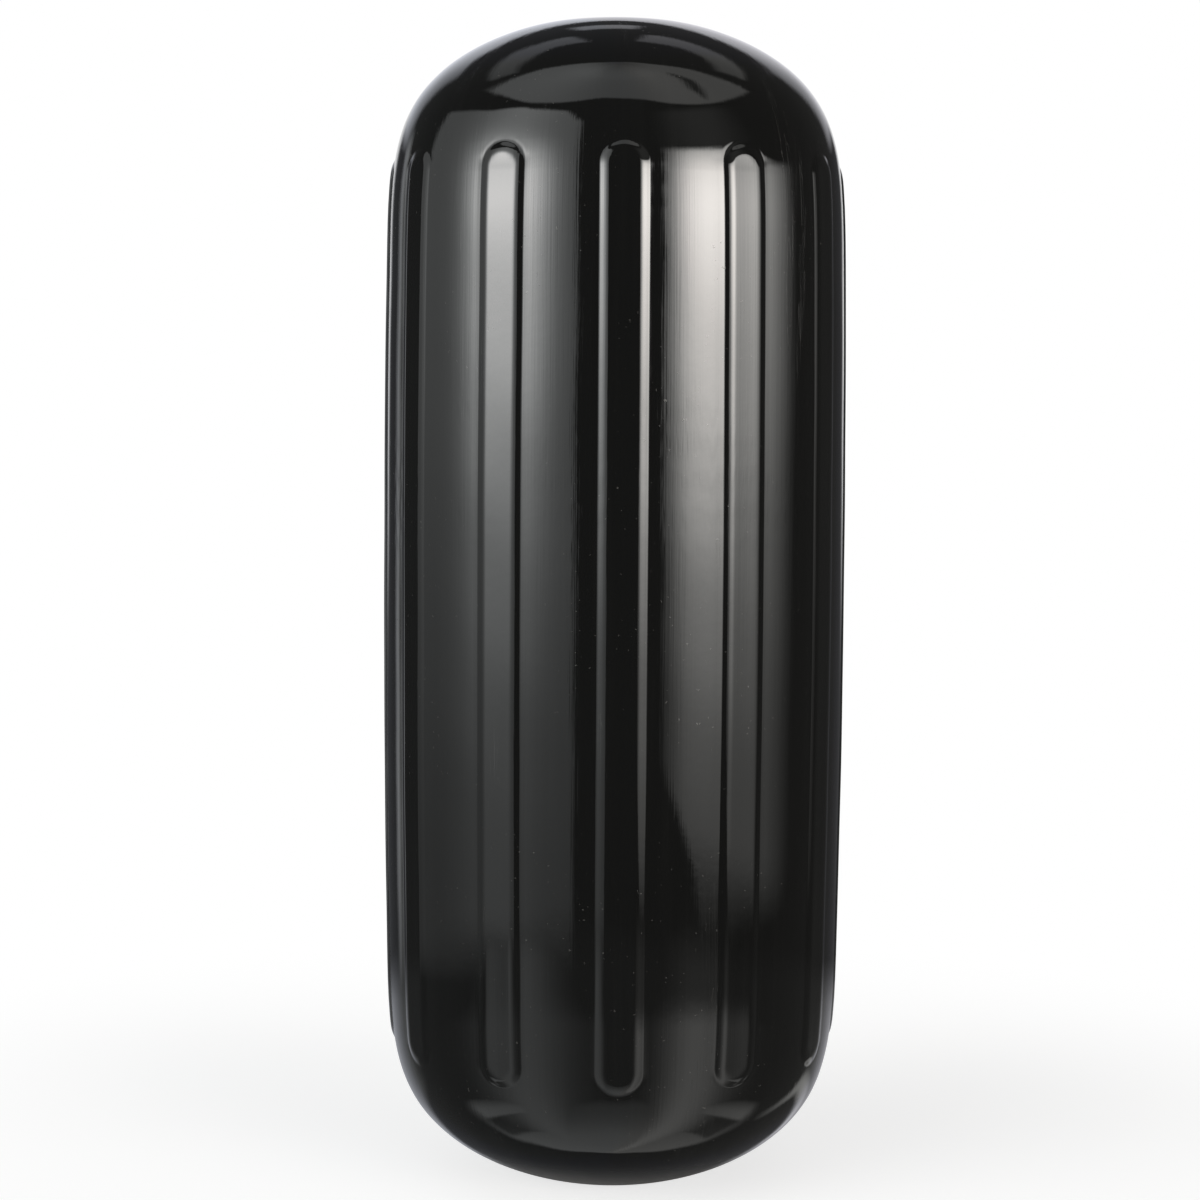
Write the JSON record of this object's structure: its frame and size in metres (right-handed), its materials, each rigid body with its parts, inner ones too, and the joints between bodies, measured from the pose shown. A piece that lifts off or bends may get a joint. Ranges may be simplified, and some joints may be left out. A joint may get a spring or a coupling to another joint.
{
  "type": "pneumatic fender",
  "caption": "Inflatable ribbed vinyl boat fender: a barrel with domed ends, a rope hole through its middle from end to end, and a needle valve in the upper end.",
  "frame": {"origin": "centre of the lower end, on the plane of the flat ring that the fender stands on", "axes": "+Z along the rope hole towards the end with the valve; +Y from the axis towards the valve; one rib's middle lies on -Y, the side the picture shows"},
  "size_m": [0.2046, 0.2046, 0.508],
  "materials": {
    "black_vinyl": "gloss moulded vinyl",
    "black_nylon": "satin moulded nylon",
    "black_rubber": "matt soft rubber"
  },
  "bodies": {
    "root": {"fender_shell": "black_vinyl", "valve_body": "black_nylon", "valve_core": "black_rubber"}
  },
  "joints": []
}
